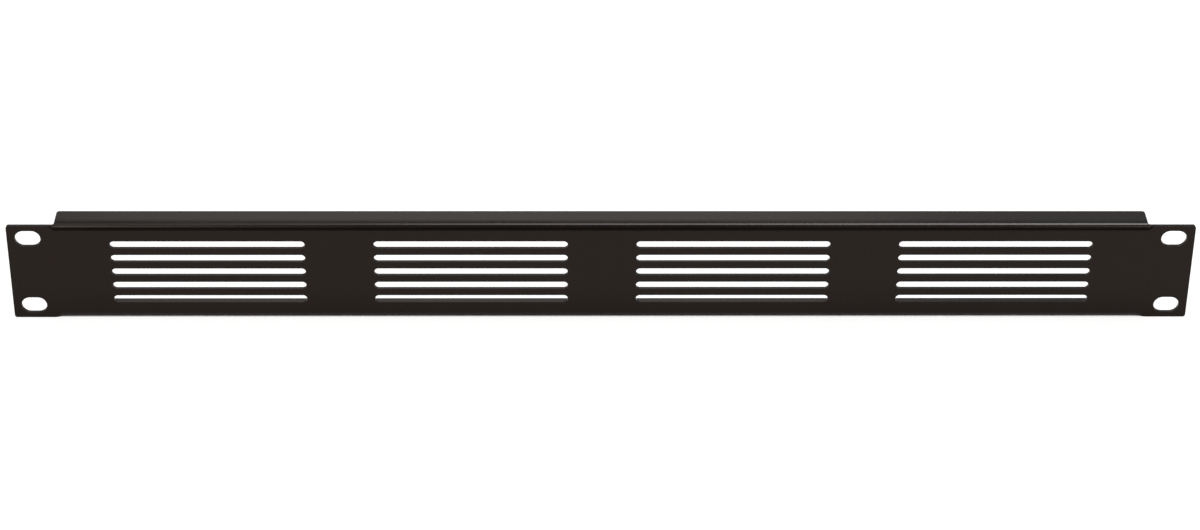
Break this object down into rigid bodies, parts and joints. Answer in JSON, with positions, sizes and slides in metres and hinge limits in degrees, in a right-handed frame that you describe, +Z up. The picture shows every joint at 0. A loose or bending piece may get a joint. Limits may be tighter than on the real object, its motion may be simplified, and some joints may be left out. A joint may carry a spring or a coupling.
{
  "type": "vented rack blanking panel",
  "caption": "Flat one-unit rack panel with slotted ears, rows of round-ended vent slots and a flange folded back along its top and bottom edges.",
  "frame": {"origin": "centre of the four rack mounting slots, on the rear face that seats on the rack rails", "axes": "+X to the right seen from the front, +Y into the rack, +Z up"},
  "size_m": [0.482, 0.012, 0.0436],
  "materials": {
    "powder_coat": "satin black powder coat on steel"
  },
  "bodies": {
    "root": {"vented_panel": "powder_coat"}
  },
  "joints": []
}
